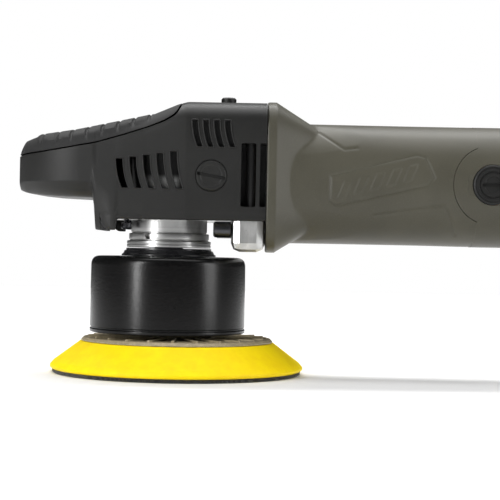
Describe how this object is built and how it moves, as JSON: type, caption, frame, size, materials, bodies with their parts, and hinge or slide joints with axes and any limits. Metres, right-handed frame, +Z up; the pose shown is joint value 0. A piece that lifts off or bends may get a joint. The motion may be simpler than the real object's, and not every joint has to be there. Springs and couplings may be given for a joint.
{
  "type": "dual action polisher",
  "caption": "Right-angle mains polisher whose crank orbits a free-spinning round foam backing plate under a black skirt, with gear head, motor tube and rear handle.",
  "frame": {"origin": "on the spindle axis, in the plane of the pad face", "axes": "+X towards the rear handle along the motor axis, +Z up along the spindle, -Y the tool's left side"},
  "size_m": [0.4745, 0.1504, 0.1647],
  "materials": {
    "black_plastic": "fine moulded texture",
    "palm_rubber": "soft matt rubber",
    "olive_plastic": "olive-grey moulded, finely textured",
    "shroud_plastic": "satin pebble texture",
    "gloss_ring": "polished black",
    "cast_metal": "die cast, dull",
    "turned_metal": "turned, bright",
    "dark_steel": "blackened steel",
    "copper": "enamelled copper wire and bars",
    "laminations": "stacked sheet steel",
    "insulation": "moulded insulation",
    "graphite": "pressed graphite",
    "foam": "skinned polyurethane foam",
    "disc_plastic": "stiff filled plastic",
    "hooks": "short stiff hooks"
  },
  "bodies": {
    "housing": {"air_baffle": "insulation", "bearing_collar": "turned_metal", "brush_cap_left": "black_plastic", "brush_cap_right": "black_plastic", "brush_carrier": "insulation", "brush_spring_left": "turned_metal", "brush_spring_right": "turned_metal", "carbon_brush_left": "graphite", "carbon_brush_right": "graphite", "collar_screw_left": "dark_steel", "collar_screw_right": "dark_steel", "cord_clamp": "black_plastic", "cord_gland": "black_plastic", "field_coil_lower": "copper", "field_coil_upper": "copper", "flange_screw_lower_left": "dark_steel", "flange_screw_lower_right": "dark_steel", "flange_screw_upper_left": "dark_steel", "flange_screw_upper_right": "dark_steel", "front_bearing": "turned_metal", "gear_case": "cast_metal", "handle_left": "olive_plastic", "handle_right": "olive_plastic", "handle_screw_front": "dark_steel", "handle_screw_rear": "dark_steel", "head_cover": "black_plastic", "lock_spring": "turned_metal", "lower_bearing": "turned_metal", "motor_housing": "olive_plastic", "neck_ring": "gloss_ring", "palm_grip": "palm_rubber", "rear_bearing": "turned_metal", "shroud": "shroud_plastic", "side_plug_left": "black_plastic", "side_plug_right": "black_plastic", "speed_module": "insulation", "stator_core": "laminations", "switch_body": "black_plastic", "trigger_pin": "turned_metal", "trigger_spring": "turned_metal", "upper_bearing": "turned_metal"},
    "crank": {"crank_spindle": "dark_steel", "counterweight": "cast_metal", "ring_gear": "dark_steel", "plate_bearing": "turned_metal"},
    "plate": {"plate_spindle": "turned_metal", "plate_disc": "disc_plastic", "plate_foam": "foam", "hook_face": "hooks"},
    "armature": {"armature_shaft": "turned_metal", "armature_core": "laminations", "armature_winding": "copper", "commutator": "copper", "cooling_fan": "insulation", "pinion_gear": "dark_steel", "lock_collar": "dark_steel"},
    "lock_button": {"spindle_lock_button": "black_plastic"},
    "trigger": {"trigger": "black_plastic"},
    "lock_on": {"lock_on_button": "black_plastic"},
    "dial": {"speed_dial": "black_plastic"}
  },
  "joints": [
    {"name": "spindle_spin", "type": "hinge", "parent": "housing", "child": "crank", "pos_m": [0, 0, 0], "axis": [0, 0, 1], "continuous": true},
    {"name": "plate_spin", "type": "hinge", "parent": "crank", "child": "plate", "pos_m": [0.006, 0, 0], "axis": [0, 0, 1], "continuous": true},
    {"name": "armature_spin", "type": "hinge", "parent": "housing", "child": "armature", "pos_m": [0, 0, 0.114], "axis": [1, 0, 0], "continuous": true},
    {"name": "lock_press", "type": "slide", "parent": "housing", "child": "lock_button", "axis": [0, 0, -1], "range_m": [0, 0.004], "stiffness_N_per_m": 400, "springref_m": -0.002, "deforming": ["lock_spring"]},
    {"name": "trigger_pull", "type": "hinge", "parent": "housing", "child": "trigger", "pos_m": [0.247, 0, 0.097], "axis": [0, -1, 0], "range_deg": [0, 5.5], "stiffness_Nm_per_rad": 2, "springref_deg": -2.86, "deforming": ["trigger_spring"]},
    {"name": "lock_on_press", "type": "slide", "parent": "housing", "child": "lock_on", "axis": [0, 1, 0], "range_m": [0, 0.003], "stiffness_N_per_m": 300, "springref_m": -0.001},
    {"name": "dial_turn", "type": "hinge", "parent": "housing", "child": "dial", "pos_m": [0.322, 0, 0.129], "axis": [0, 1, 0], "range_deg": [0, 280]}
  ],
  "couplings": [
    {"joint": "armature_spin", "follows": "spindle_spin", "ratio": 3}
  ]
}
